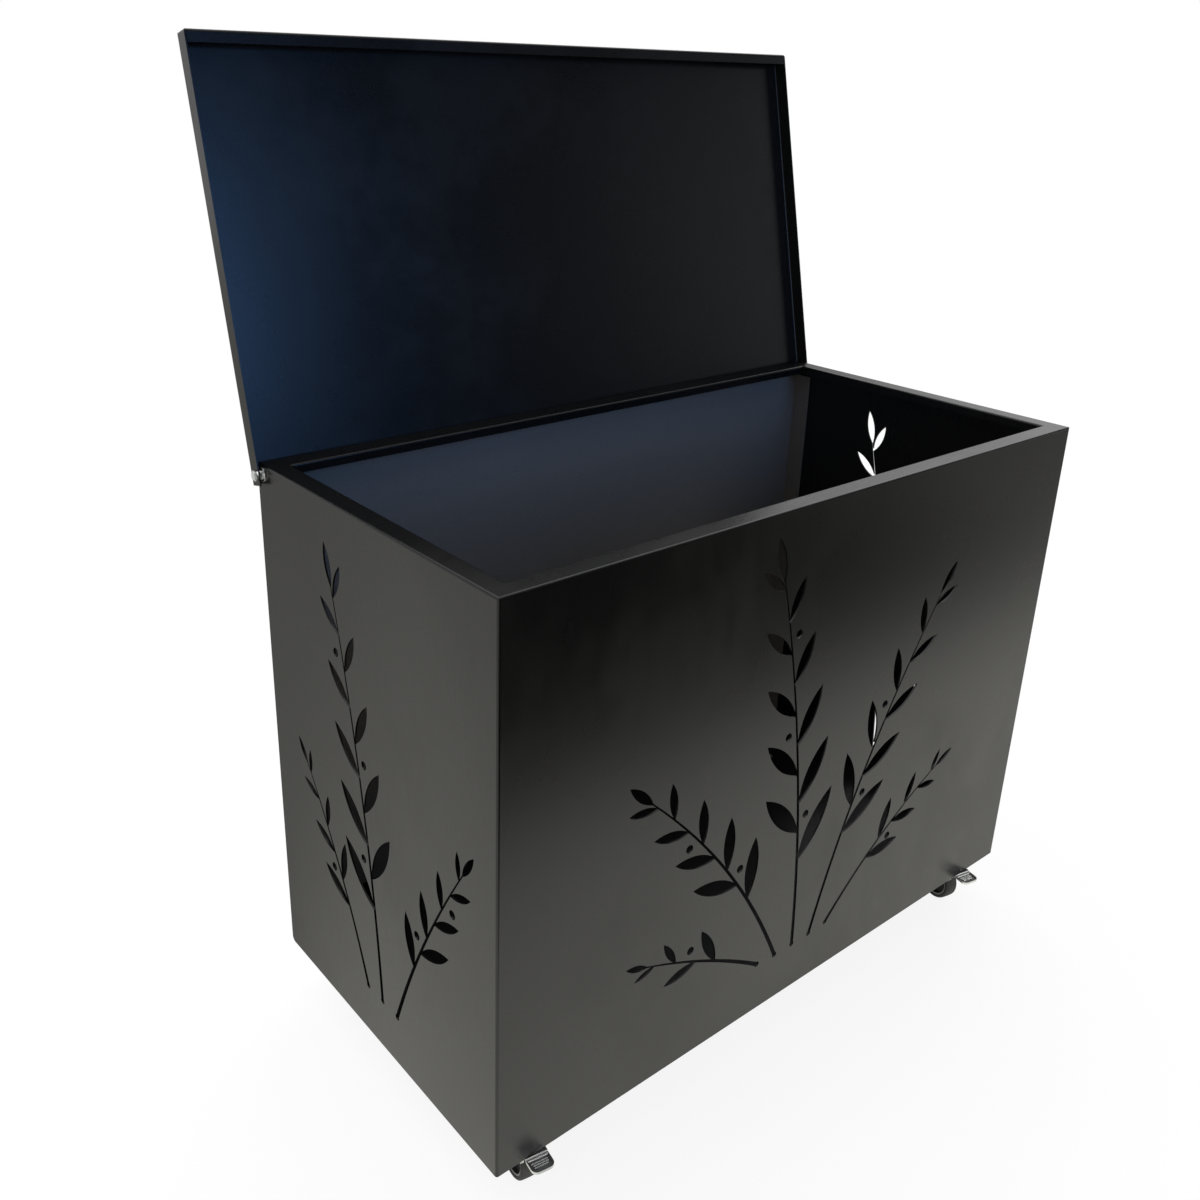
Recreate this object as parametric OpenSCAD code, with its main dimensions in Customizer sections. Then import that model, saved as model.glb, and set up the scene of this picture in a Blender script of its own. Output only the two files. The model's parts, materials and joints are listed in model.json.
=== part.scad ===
// Log box: a folded steel box with a hinged lid, on four swivel castors.
// Millimetres, +Z up. The origin is on the floor, in the middle of the object's outline.

/* [Body] */
// Width of the box from side to side
body_w = 800; // [600:10:1000]
// Depth of the box from front to rear
body_d = 400; // [360:10:600]
// Height of the walls, without castors
body_h = 578; // [560:1:700]
// Thickness of the wall sheet
wall_t = 2; // [1.5:0.5:3]
// Outer radius of the folds between the walls, and between walls and rim
bend_r = 2.6; // [2.4:0.1:4]
// Outer radius of the fold along the top of the rear wall
rear_bend_r = 4.5; // [4.4:0.1:5]
// Radius of the side walls' lower rear corners
foot_corner = 6; // [3:0.5:10]
// Height of the folded-up edges of the floor plate
floor_edge = 20; // [12:1:26]

/* [Rim] */
// Width of the folded rim at the front and sides
rim_w = 22; // [18:1:40]
// Width of the folded rim at the rear
rear_rim_w = 28; // [24:1:40]
// Depth of the rim's turned-down lip
lip_h = 10; // [6:1:16]
// Outer radius of the fold between rim and lip
lip_r = 2.5; // [2:0.5:3]
// Depth of the rear panel's side flanges
rear_flange = 25; // [15:1:40]

/* [Lid] */
// Thickness of the lid sheet
lid_t = 1.5; // [1:0.5:2]
// Depth of the lid's flanges
lid_flange = 18; // [17:1:24]
// How far the closed lid reaches past the front wall
lid_overhang = 20.5; // [16:0.5:30]
// Width of the lip folded inwards from the lid's front flange
lid_lip = 12; // [8:0.5:14]
// Gap between each side wall and the lid's side flange
lid_side_gap = 4.5; // [4:0.5:6]
// Gap between the rim and the closed lid, at the hinge
lid_gap = 2.7; // [2.7:0.1:3.2]
// Outer radius of the lid's folds
lid_bend_r = 3; // [2.5:0.5:4]

/* [Hinge] */
// Distance of the hinge axis from the rear face
hinge_back = 10.3; // [10:0.1:10.3]
// Distance of the hinge axis below the rim
hinge_drop = 10.3; // [10:0.1:11]
// How far the lid's rear edge reaches behind the hinge axis
lid_tail = 10.5; // [9:0.1:11]
// Radius of the hinge bolts
hinge_r = 3; // [2.5:0.1:3]

/* [Castors] */
// Height of a castor from the floor to its mounting face
castor_h = 72.5; // [71:0.5:75]
// Height of the walls' lower edge above the floor
ride_h = 58; // [57:0.5:59]
// Distance of each castor's swivel axis from the side faces
castor_x = 55; // [50:1:90]
// Distance of each castor's swivel axis from the front and rear faces
castor_y = 58; // [54:0.5:90]
// Turn of each castor: front left, front right, rear left, rear right
castor_turn = [-9.5, -12, -13, -7]; // [-30:0.1:30]
// Radius of the wheels
wheel_r = 25; // [24:0.5:26]
// Width of the tyres
wheel_w = 18; // [16:0.5:18]
// Offset of the axle from the swivel axis
trail = 24; // [22:0.5:25]
// Side of the square mounting plate
plate_side = 60; // [58:1:64]

/* [Leaf pattern] */
// Radius of the round berry holes
berry_r = 4.5; // [3:0.5:6]
// Length of a leaf divided by its width
leaf_slim = 4; // [3.5:0.1:6]
// Angle between a leaf and its stem
leaf_angle = 36; // [25:1:45]
// Width of a stem at its foot
stem_w = 5; // [3:0.5:6]

/* [Hidden] */
$fn = 48;
eps = 0.01;

// Colours
powder_black = [0.10, 0.10, 0.10];
zinc = [0.72, 0.73, 0.72];
dark_plastic = [0.08, 0.08, 0.09];
grey_rubber = [0.25, 0.25, 0.25];

// Heights in the box's own frame, where z = 0 is the walls' lower edge
floor_under = castor_h - ride_h;
floor_top = floor_under + wall_t;
axle_z = wheel_r - ride_h;

// How far inside the mouth's rear corners the seams between the rims start
seam_in = 3;

// Hinge axis and the lid's resting angle: its rear edge leans on the rear wall
hinge_y = body_d - hinge_back;
hinge_z = body_h - hinge_drop;
lid_rise = hinge_drop + lid_gap;
lid_reach = hinge_y + lid_overhang;
lid_w = body_w + 2 * (lid_side_gap + lid_t);
stop_gap = 0.1;
lid_open = atan2(lid_rise, lid_tail) + acos((hinge_back + stop_gap) / norm([lid_rise, lid_tail]));

// Washers, bushes and nuts of the hinge, from the wall outwards
washer_r = 7.5;
washer_t = 1.6;
hinge_play = 0.2;
running_fit = 0.06;
nut_r = 5.77;
nut_h = 4;
collar_h = 0.8;

// Castor pieces, around the swivel axis and with the wheel trailing towards -Y
plate_t = 2.5;
plate_hole = 23.5;
bolt_r = 3;
race_r = 13;
ball_r = 2;
ball_count = 14;
ring_in = 9;
ring_out = 17;
crown_top = 5;
crown_t = 2;
ring_gap = 2.4;
plate_under = floor_under - plate_t;
ring_low = crown_top + 2.1;
ring_high = ring_low + ring_gap;
ball_z = (ring_low + ring_high) / 2;
kingpin_r = 4;
kingpin_head_r = 6.5;
leg_in = 10.8;
leg_t = 2;
leg_out = leg_in + leg_t;
hub_r = 20.5;
hub_rim = 2;
hub_boss_r = 6;
axle_r = 3;
tyre_squeeze = 0.05;

// Brake pedal, in the same frame
pedal_t = 1.6;
pedal_neck = 10.5;
pedal_half = 11.8;
pedal_root = 33;
pedal_wide = 50;
pedal_bend = 60;
pedal_fall = 3.5;
pedal_tip = 77.5;
pedal_top = -1;
pedal_corner = 6;
pedal_dip = 2.4;
pedal_rim = 1.4;
pedal_rim_h = 1.3;
pedal_pin = [-43, -8.5];
pedal_pin_r = 2;

// Leaf pattern: the stems' round foot and taper, the leaves' taper, and where berries sit
foot_r = 0.65 * stem_w;
stem_taper = 0.7;
stem_end = 12;
leaf_taper = 0.5;
tip_leaf = 0.56;
berry_off = 12;

// Twigs of each wall: [foot, heading, turn, length, leaves, longest leaf, first leaf]
front_twigs = [
    [[396, 60], -2, -14, 455, 10, 88, 112],
    [[424, 60], 15, 18, 400, 9, 80, 120],
    [[368, 60], -25, -22, 335, 8, 74, 112],
    [[452, 62], 42, 22, 225, 6, 58, 84],
    [[340, 62], -56, -14, 185, 4, 54, 78],
];
side_twigs = [
    [[196, 60], 3, 11, 440, 10, 80, 106],
    [[168, 60], -20, -12, 270, 7, 60, 92],
    [[224, 60], 19, 16, 238, 6, 56, 84],
];

// Outline of the whole object, which gives the origin
lid_edge = [lid_bend_r - lid_reach, lid_rise + lid_t - lid_bend_r];
outline_rear = hinge_y + lid_edge.x * cos(lid_open) + lid_edge.y * sin(lid_open) + lid_bend_r;
outline_front = min([for (i = [0, 1]) castor_y - (pedal_tip - pedal_corner) * cos(castor_turn[i])
    - (pedal_half - pedal_corner) * abs(sin(castor_turn[i])) - pedal_corner]);
mid_y = (outline_front + outline_rear) / 2;

// Moves the box's own frame to the object's frame
module placed() {
    translate([-body_w / 2, -mid_y, ride_h]) children();
}

// Block with rounded top edges and rounded upright edges at its front
module folded_block(size, r, rear_r) {
    intersection() {
        linear_extrude(size.z) round_fronted(size.x, size.y, r);
        translate([0, size.y + eps, 0]) rotate([90, 0, 0]) linear_extrude(size.y + 2 * eps)
            round_topped(size.x, size.z, r, r);
        translate([-eps, 0, 0]) rotate([90, 0, 90]) linear_extrude(size.x + 2 * eps)
            round_topped(size.y, size.z, r, rear_r);
    }
}

// Pan with rounded top edges and a rounded front, open at the rear
module pan_block(size, r) {
    intersection() {
        folded_block([size.x, size.y + 20, size.z], r, r);
        translate([-eps, 0, 0]) rotate([90, 0, 90]) linear_extrude(size.x + 2 * eps) union() {
            translate([r, 0]) square([size.y - r, size.z]);
            translate([0, r]) square([size.y, size.z - r]);
            translate([r, r]) circle(r);
        }
    }
}

module rounded_rect(w, d, r) {
    union() {
        translate([r, 0]) square([w - 2 * r, d]);
        translate([0, r]) square([w, d - 2 * r]);
        for (x = [r, w - r], y = [r, d - r]) translate([x, y]) circle(r);
    }
}

module round_fronted(w, d, r) {
    union() {
        translate([0, r]) square([w, d - r]);
        translate([r, 0]) square([w - 2 * r, d]);
        for (x = [r, w - r]) translate([x, r]) circle(r);
    }
}

module round_topped(w, h, r, far_r) {
    union() {
        square([w / 2, h - r]);
        translate([r, 0]) square([w - r - far_r, h]);
        translate([w / 2, 0]) square([w / 2, h - far_r]);
        translate([r, h - r]) circle(r);
        translate([w - far_r, h - far_r]) circle(far_r);
    }
}

// Section of the mouth: straight sides that flare out over the lip's fold
module flared_mouth(w, depth, r) {
    difference() {
        translate([-r, 0]) square([w + 2 * r, depth + 1]);
        for (x = [-r, w]) translate([x, -1]) square([r, depth - r + 1]);
        for (x = [-r, w + r]) translate([x, depth - r]) circle(r);
    }
}

// The mouth between the four rims
module mouth_cutter() {
    mouth_w = body_w - 2 * rim_w;
    mouth_d = body_d - rim_w - rear_rim_w;
    depth = lip_h + 2;
    translate([rim_w, rim_w, body_h - depth]) intersection() {
        translate([0, mouth_d + 20, 0]) rotate([90, 0, 0]) linear_extrude(mouth_d + 40)
            flared_mouth(mouth_w, depth, lip_r);
        translate([-20, 0, 0]) rotate([90, 0, 90]) linear_extrude(mouth_w + 40)
            flared_mouth(mouth_d, depth, lip_r);
    }
}

// The whole folded box, before it is parted into shell and rear panel
module folded_box() {
    difference() {
        folded_block([body_w, body_d, body_h], bend_r, rear_bend_r);
        difference() {
            translate([wall_t, wall_t, -1])
                cube([body_w - 2 * wall_t, body_d - 2 * wall_t, body_h - wall_t + 1]);
            translate([rim_w - wall_t, rim_w - wall_t, body_h - lip_h])
                cube([body_w - 2 * (rim_w - wall_t), body_d - rim_w - rear_rim_w + 2 * wall_t, lip_h]);
        }
        mouth_cutter();
    }
}

// Where the rear panel is: the rear wall and a strip of rim with slanted ends
module rear_zone() {
    lip_end = rim_w + seam_in;
    union() {
        translate([wall_t, body_d - wall_t, -1])
            cube([body_w - 2 * wall_t, wall_t + 1, body_h - wall_t + 1]);
        translate([0, 0, body_h - lip_h - 1]) linear_extrude(lip_h + 2) polygon([
            [lip_end, body_d - rear_rim_w - 1], [body_w - lip_end, body_d - rear_rim_w - 1],
            [body_w - lip_end, body_d - rear_rim_w], [body_w - wall_t, body_d - wall_t],
            [body_w - wall_t, body_d + 1], [wall_t, body_d + 1],
            [wall_t, body_d - wall_t], [lip_end, body_d - rear_rim_w],
        ]);
    }
}

// One leaf: a lens between two arcs, its foot at the origin and its tip along +X
module leaf(len) {
    w = len / leaf_slim;
    r = (len * len + w * w) / (4 * w);
    intersection() {
        translate([len / 2, r - w / 2]) circle(r, $fn = 180);
        translate([len / 2, w / 2 - r]) circle(r, $fn = 180);
    }
}

// A point on a bent stem, s from its foot: [u, v, heading], the heading counted from upright
function stem_point(foot, heading, turn, length, s) =
    let (bend = turn * s / length, mean = heading + bend / 2)
    [foot.x + s * sin(mean), foot.y + s * cos(mean), heading + bend];

function reversed(list) = [for (i = [len(list) - 1:-1:0]) list[i]];

// One twig: a bent stem, leaves on its two sides in turn, a leaf at its tip and a few berries
module twig(foot, heading, turn, length, leaves, leaf_len, first_leaf) {
    steps = 16;
    step = (length - first_leaf - stem_end) / (leaves - 1);
    function at(s) = stem_point(foot, heading, turn, length, s);
    function edge(side) = [
        for (i = [0:steps])
            let (p = at(length * i / steps), half = side * stem_w / 2 * (1 - stem_taper * i / steps))
            [p[0] + half * cos(p[2]), p[1] - half * sin(p[2])]
    ];
    polygon(concat(edge(-1), reversed(edge(1))));
    translate(foot) circle(foot_r);
    for (i = [0:leaves - 1]) {
        p = at(first_leaf + step * i);
        side = i % 2 == 0 ? 1 : -1;
        translate([p[0], p[1]]) rotate(90 - p[2] - side * leaf_angle)
            leaf(leaf_len * (1 - leaf_taper * i / (leaves - 1)));
        berry = at(first_leaf + step * (i + 0.5));
        if (i % 3 == 1 && i < leaves - 2)
            translate([berry[0], berry[1]]) rotate(90 - berry[2] + side * 90)
                translate([berry_off, 0]) circle(berry_r, $fn = 24);
    }
    tip = at(length - stem_w / 2);
    translate([tip[0], tip[1]]) rotate(90 - tip[2]) leaf(leaf_len * tip_leaf);
}

module pattern(twigs) {
    for (t = twigs) twig(t[0], t[1], t[2], t[3], t[4], t[5], t[6]);
}

module body_shell() {
    color(powder_black) placed() difference() {
        folded_box();
        rear_zone();
        translate([0, wall_t + 1, 0]) rotate([90, 0, 0]) linear_extrude(wall_t + 2) pattern(front_twigs);
        for (x = [-1, body_w - wall_t - 1])
            translate([x, 0, 0]) rotate([90, 0, 90]) linear_extrude(wall_t + 2) pattern(side_twigs);
        translate([-1, body_d - foot_corner, foot_corner]) rotate([90, 0, 90]) linear_extrude(body_w + 2)
            difference() {
                translate([0, -foot_corner - 1]) square([foot_corner + 1, foot_corner + 1]);
                circle(foot_corner);
            }
        translate([-1, hinge_y, hinge_z]) rotate([0, 90, 0]) cylinder(h = body_w + 2, r = hinge_r);
    }
}

module rear_panel() {
    flange_low = floor_top + floor_edge + 4;
    flange_high = body_h - 18;
    color(powder_black) placed() union() {
        intersection() {
            folded_box();
            rear_zone();
        }
        for (x = [wall_t, body_w - 2 * wall_t]) translate([x, body_d - wall_t - rear_flange, flange_low])
            cube([wall_t, rear_flange, flange_high - flange_low]);
    }
}

module floor_plate() {
    in_w = body_w - 2 * wall_t;
    in_d = body_d - 2 * wall_t;
    corner = 14;
    color(powder_black) placed() translate([wall_t, wall_t, floor_under]) difference() {
        union() {
            cube([in_w, in_d, wall_t]);
            for (y = [0, in_d - wall_t]) translate([corner, y, 0])
                cube([in_w - 2 * corner, wall_t, wall_t + floor_edge]);
            for (x = [0, in_w - wall_t]) translate([x, corner, 0])
                cube([wall_t, in_d - 2 * corner, wall_t + floor_edge]);
        }
        for (i = [0:3]) translate([castor_place(i).x - wall_t, castor_place(i).y - wall_t, -1])
            hole_square(wall_t + 2);
    }
}

// The lid is drawn closed about its hinge axis and then turned to where it rests
module lid() {
    pan_d = lid_reach + lid_tail;
    low = lid_rise + lid_t - lid_flange;
    slit = 0.5;
    color(powder_black) placed() translate([-lid_side_gap - lid_t, hinge_y, hinge_z])
        rotate([-lid_open, 0, 0]) difference() {
            translate([0, -lid_reach, low]) pan_block([lid_w, pan_d, lid_flange], lid_bend_r);
            translate([lid_t, lid_t - lid_reach, low + lid_t])
                pan_block([lid_w - 2 * lid_t, pan_d, lid_flange - 2 * lid_t], lid_bend_r - lid_t);
            translate([lid_t, lid_lip - lid_reach, low - 1])
                cube([lid_w - 2 * lid_t, pan_d, lid_bend_r + 1]);
            for (x = [lid_t, lid_w - lid_t - slit]) translate([x, lid_bend_r - lid_reach, low - 1])
                cube([slit, lid_lip, lid_bend_r + 1]);
            translate([-1, 0, 0]) rotate([0, 90, 0]) cylinder(h = lid_w + 2, r = hinge_r + running_fit);
        }
}

// Puts a hinge piece, drawn along +X from the wall's outer face, on both sides
module both_hinges() {
    placed() {
        translate([body_w, hinge_y, hinge_z]) children();
        translate([0, hinge_y, hinge_z]) mirror([1, 0, 0]) children();
    }
}

module along_x(h, r, from = 0) {
    translate([from, 0, 0]) rotate([0, 90, 0]) cylinder(h = h, r = r);
}

module hinge_bolts() {
    head_r = 5.2;
    head_h = 3.2;
    key_r = 2.3;
    key_deep = 1.8;
    outer = lid_side_gap + lid_t + hinge_play + nut_h + 0.4;
    color(zinc) both_hinges() difference() {
        union() {
            along_x(outer + wall_t, hinge_r, -wall_t);
            translate([-wall_t - head_h, 0, 0]) rotate([0, 90, 0])
                rotate_extrude() button_head(head_r, head_h);
        }
        translate([-wall_t - head_h - 1, 0, 0]) rotate([0, 90, 0])
            cylinder(h = key_deep + 1, r = key_r, $fn = 6);
    }
}

// Half section of a domed head, its crown at y = 0 and its flat at y = h
module button_head(r, h) {
    dome = (r * r + h * h) / (2 * h);
    intersection() {
        square([r, h]);
        translate([0, dome]) circle(dome, $fn = 96);
    }
}

module hinge_washers() {
    color(zinc) both_hinges() difference() {
        along_x(washer_t, washer_r);
        along_x(washer_t + 2, hinge_r, -1);
    }
}

module hinge_bushes() {
    color(zinc) both_hinges() difference() {
        along_x(lid_side_gap - washer_t - hinge_play, 5, washer_t);
        along_x(lid_side_gap + 2, hinge_r, -1);
    }
}

// Lock nut: a hexagon with its corners turned off and a round collar
module hinge_nuts() {
    start = lid_side_gap + lid_t + hinge_play;
    hex_h = nut_h - collar_h;
    color(zinc) both_hinges() difference() {
        union() {
            intersection() {
                translate([start, 0, 0]) rotate([0, 90, 0]) cylinder(h = hex_h, r = nut_r, $fn = 6);
                translate([start, 0, 0]) rotate([0, 90, 0]) rotate_extrude()
                    polygon([[0, 0], [5.2, 0], [6, 0.6], [6, hex_h - 0.7], [5, hex_h], [0, hex_h]]);
            }
            along_x(collar_h, 4.4, start + hex_h);
        }
        along_x(start + nut_h + 4, hinge_r, -1);
    }
}

// Swivel axis of castor i in the box's frame: front left, front right, rear left, rear right
function castor_place(i) = [
    i % 2 == 0 ? castor_x : body_w - castor_x,
    i < 2 ? castor_y : body_d - castor_y,
];

// Puts a piece on castor i, turned with its fork or square to the box
module at_castor(i, turned = true) {
    placed() translate([castor_place(i).x, castor_place(i).y, 0])
        rotate(turned ? castor_turn[i] : 0) children();
}

// Four holes of a castor's mounting plate
module hole_square(h) {
    for (x = [-plate_hole, plate_hole], y = [-plate_hole, plate_hole])
        translate([x, y, 0]) cylinder(h = h, r = bolt_r);
}

module castor_bolts() {
    head_r = 6;
    head_h = 3;
    color(zinc) for (i = [0:3]) at_castor(i, false)
        for (x = [-plate_hole, plate_hole], y = [-plate_hole, plate_hole]) translate([x, y, 0]) {
            union() {
                translate([0, 0, floor_top + head_h]) mirror([0, 0, 1]) rotate_extrude()
                    button_head(head_r, head_h);
                translate([0, 0, crown_top + 1]) cylinder(h = floor_top - crown_top - 1, r = bolt_r);
            }
        }
}

module castor_nuts() {
    h = 5;
    color(zinc) for (i = [0:3]) at_castor(i, false)
        for (x = [-plate_hole, plate_hole], y = [-plate_hole, plate_hole])
            translate([x, y, plate_under - h]) difference() {
                cylinder(h = h, r = nut_r, $fn = 6);
                translate([0, 0, -1]) cylinder(h = h + 2, r = bolt_r);
            }
}

// Half section of a ball groove's ring, between two heights
module race_section(low, high) {
    difference() {
        translate([ring_in, low]) square([ring_out - ring_in, high - low]);
        translate([race_r, ball_z]) circle(ball_r + 0.05);
    }
}

module castor_plate(i) {
    corner = 6;
    color(zinc) at_castor(i, false) difference() {
        union() {
            translate([-plate_side / 2, -plate_side / 2, plate_under]) linear_extrude(plate_t)
                rounded_rect(plate_side, plate_side, corner);
            rotate_extrude() race_section(ring_high, plate_under + eps);
        }
        translate([0, 0, plate_under - 1]) hole_square(plate_t + 2);
        cylinder(h = floor_under + 1, r = kingpin_r);
    }
}

module castor_kingpin(i) {
    head_h = 2.2;
    head_top = crown_top - crown_t - 0.05;
    color(zinc) at_castor(i, false) union() {
        translate([0, 0, head_top - head_h]) rotate_extrude() button_head(kingpin_head_r, head_h);
        translate([0, 0, head_top - eps]) cylinder(h = floor_under - head_top + eps, r = kingpin_r);
    }
}

module castor_balls(i) {
    color(zinc) at_castor(i, false) for (k = [0:ball_count - 1])
        rotate(360 * k / ball_count) translate([race_r, 0, ball_z]) sphere(ball_r);
}

// Side view of a fork leg, in the plane of y and z
module leg_outline(brake) {
    union() {
        polygon([
            [12, crown_top], [12, 0.5], [-16.8, axle_z - 2.2], [-31.2, axle_z + 2.4],
            [-34, -6], [-34, crown_top],
        ]);
        translate([-trail, axle_z]) circle(7.5);
        if (brake) {
            polygon([[-30, 2], [-45, -4.5], [-47, -10.5], [-42, -12.9], [-31, -20]]);
            translate(pedal_pin) circle(4.5);
        }
    }
}

module castor_fork(i) {
    brake = i < 2;
    color(zinc) at_castor(i) difference() {
        union() {
            translate([0, 0, crown_top - crown_t]) cylinder(h = crown_t, r = ring_out);
            translate([-leg_in - eps, -34, crown_top - crown_t]) cube([2 * leg_in + 2 * eps, 46, crown_t]);
            rotate_extrude() race_section(crown_top - eps, ring_low);
            for (x = [-leg_out, leg_in]) translate([x, 0, 0]) rotate([90, 0, 90])
                linear_extrude(leg_t) leg_outline(brake);
        }
        cylinder(h = 40, r = kingpin_r + running_fit, center = true);
        translate([-leg_out - 1, -trail, axle_z]) rotate([0, 90, 0])
            cylinder(h = 2 * leg_out + 2, r = axle_r);
        if (brake) translate([-leg_out - 1, pedal_pin.x, pedal_pin.y]) rotate([0, 90, 0])
            cylinder(h = 2 * leg_out + 2, r = pedal_pin_r);
    }
}

module axle_bolt(i) {
    color(zinc) at_castor(i) translate([0, -trail, axle_z]) union() {
        along_x(2 * leg_out + 5.5, axle_r, -leg_out);
        translate([-leg_out - 3.6, 0, 0]) rotate([0, 90, 0]) cylinder(h = 3.6, r = nut_r, $fn = 6);
    }
}

module axle_nut(i) {
    color(zinc) at_castor(i) translate([leg_out, -trail, axle_z]) rotate([0, 90, 0]) difference() {
        cylinder(h = 4.6, r = nut_r, $fn = 6);
        translate([0, 0, -1]) cylinder(h = 8, r = axle_r);
    }
}

// Half section of the wheel's core: boss, web and rim
module hub_section() {
    bore = axle_r + running_fit;
    boss = 2 * leg_in - 0.6;
    difference() {
        translate([bore, -boss / 2]) square([hub_r - bore, boss]);
        translate([hub_boss_r, 8]) square([30, 10]);
        translate([hub_boss_r, -18]) square([30, 10]);
        translate([hub_boss_r, 3]) square([hub_r - hub_rim - hub_boss_r, 8]);
        translate([hub_boss_r, -11]) square([hub_r - hub_rim - hub_boss_r, 8]);
    }
}

module wheel_hub(i) {
    color(dark_plastic) at_castor(i) translate([0, -trail, axle_z]) rotate([0, 90, 0])
        rotate_extrude() hub_section();
}

// Half section of the tyre: pressed onto the hub, with rounded shoulders and a ring groove in each side
module tyre_section() {
    shoulder = 3;
    half = wheel_w / 2;
    bore = hub_r - tyre_squeeze;
    difference() {
        union() {
            translate([bore, -half]) square([wheel_r - shoulder - bore, wheel_w]);
            translate([bore, -half + shoulder]) square([wheel_r - bore, wheel_w - 2 * shoulder]);
            for (v = [-half + shoulder, half - shoulder])
                translate([wheel_r - shoulder, v]) circle(shoulder);
        }
        for (v = [-half, half]) translate([hub_r + 1.1, v]) circle(0.5);
    }
}

module tyre(i) {
    color(grey_rubber) at_castor(i) translate([0, -trail, axle_z]) rotate([0, 90, 0])
        rotate_extrude($fn = 96) tyre_section();
}

// Height of the pedal's top face at a distance s in front of the swivel axis
function pedal_height(s) =
    let (f = (s - pedal_bend) / pedal_fall)
    f <= 0 ? pedal_top
    : f < 1 ? pedal_top - pedal_dip * (1 - cos(180 * f)) / 2
    : pedal_top - pedal_dip;

module pedal_profile() {
    n = 12;
    start = pedal_bend - 1.5;
    step = (pedal_bend + pedal_fall - start) / n;
    stations = concat([pedal_root], [for (i = [0:n]) start + step * i], [pedal_tip]);
    polygon(concat(
        [for (s = stations) [-s, pedal_height(s)]],
        [for (s = reversed(stations)) [-s, pedal_height(s) - pedal_t]]
    ));
}

// Plan of the pedal's wide front part, drawn smaller by an inset: a tip with round corners
module pedal_front(inset) {
    half = pedal_half - inset;
    tip = pedal_tip - inset;
    corner = pedal_corner - inset;
    union() {
        translate([-half, corner - tip]) square([2 * half, tip - corner - pedal_wide]);
        translate([corner - half, -tip]) square([2 * (half - corner), tip - pedal_wide]);
        for (x = [corner - half, half - corner]) translate([x, corner - tip]) circle(corner);
    }
}

module pedal_ear_outline() {
    polygon([
        [-pedal_root, pedal_top - 0.4], [-pedal_wide - 1, pedal_top - 0.4], [-pedal_wide - 1.5, -6],
        [-53, axle_z + 19.5], [-48.5, axle_z + 13.3], [-43.5, axle_z + 13.5],
        [-38.5, axle_z + 19], [-36, -6], [-pedal_root, -3.2],
    ]);
}

module brake_pedal(i) {
    ear_t = 1.2;
    shoe_angle = 38;
    shoe_gap = 1.4;
    shoe_t = 1.5;
    rib_r = 0.8;
    plate_top = pedal_top - pedal_dip;
    color(zinc) at_castor(i) difference() {
        union() {
            intersection() {
                translate([-pedal_half, 0, 0]) rotate([90, 0, 90])
                    linear_extrude(2 * pedal_half) pedal_profile();
                translate([0, 0, -20]) linear_extrude(30) union() {
                    translate([-pedal_neck, -pedal_wide - 1]) square([2 * pedal_neck, pedal_wide]);
                    pedal_front(0);
                }
            }
            translate([0, 0, plate_top - pedal_t / 2]) linear_extrude(pedal_t / 2 + pedal_rim_h)
                intersection() {
                    difference() {
                        pedal_front(0);
                        pedal_front(pedal_rim);
                    }
                    translate([-pedal_half, -pedal_tip])
                        square([2 * pedal_half, pedal_tip - pedal_bend - 1]);
                }
            for (x = [-pedal_neck, pedal_neck - ear_t]) translate([x, 0, 0]) rotate([90, 0, 90])
                linear_extrude(ear_t) pedal_ear_outline();
            translate([-pedal_neck + 0.2, -trail, axle_z]) rotate([-shoe_angle, 0, 0])
                translate([0, -wheel_r - shoe_gap - shoe_t, -3]) cube([2 * pedal_neck - 0.4, shoe_t, 6]);
            for (r = [[66.2, 8], [68.6, 7.3], [71, 6.6]]) translate([0, -r[0], plate_top - 0.2]) {
                rotate([0, 90, 0]) cylinder(h = 2 * r[1], r = rib_r, center = true, $fn = 24);
                for (x = [-r[1], r[1]]) translate([x, 0, 0]) sphere(rib_r, $fn = 24);
            }
        }
        translate([-20, pedal_pin.x, pedal_pin.y]) rotate([0, 90, 0])
            cylinder(h = 40, r = pedal_pin_r + running_fit);
    }
}

module pedal_rivet(i) {
    head_h = 1.4;
    color(zinc) at_castor(i) translate([0, pedal_pin.x, pedal_pin.y]) union() {
        along_x(2 * leg_out, pedal_pin_r, -leg_out);
        for (m = [0, 1]) mirror([m, 0, 0]) translate([leg_out + head_h, 0, 0]) rotate([0, -90, 0])
            rotate_extrude() button_head(3.4, head_h);
    }
}

body_shell();
rear_panel();
floor_plate();
lid();
hinge_bolts();
hinge_washers();
hinge_bushes();
hinge_nuts();
castor_bolts();
castor_nuts();
castor_plate(0);  // castor_plate_fl
castor_plate(1);  // castor_plate_fr
castor_plate(2);  // castor_plate_rl
castor_plate(3);  // castor_plate_rr
castor_kingpin(0);  // castor_kingpin_fl
castor_kingpin(1);  // castor_kingpin_fr
castor_kingpin(2);  // castor_kingpin_rl
castor_kingpin(3);  // castor_kingpin_rr
castor_balls(0);  // castor_balls_fl
castor_balls(1);  // castor_balls_fr
castor_balls(2);  // castor_balls_rl
castor_balls(3);  // castor_balls_rr
castor_fork(0);  // castor_fork_fl
castor_fork(1);  // castor_fork_fr
castor_fork(2);  // castor_fork_rl
castor_fork(3);  // castor_fork_rr
axle_bolt(0);  // axle_bolt_fl
axle_bolt(1);  // axle_bolt_fr
axle_bolt(2);  // axle_bolt_rl
axle_bolt(3);  // axle_bolt_rr
axle_nut(0);  // axle_nut_fl
axle_nut(1);  // axle_nut_fr
axle_nut(2);  // axle_nut_rl
axle_nut(3);  // axle_nut_rr
wheel_hub(0);  // wheel_hub_fl
wheel_hub(1);  // wheel_hub_fr
wheel_hub(2);  // wheel_hub_rl
wheel_hub(3);  // wheel_hub_rr
tyre(0);  // tyre_fl
tyre(1);  // tyre_fr
tyre(2);  // tyre_rl
tyre(3);  // tyre_rr
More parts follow.
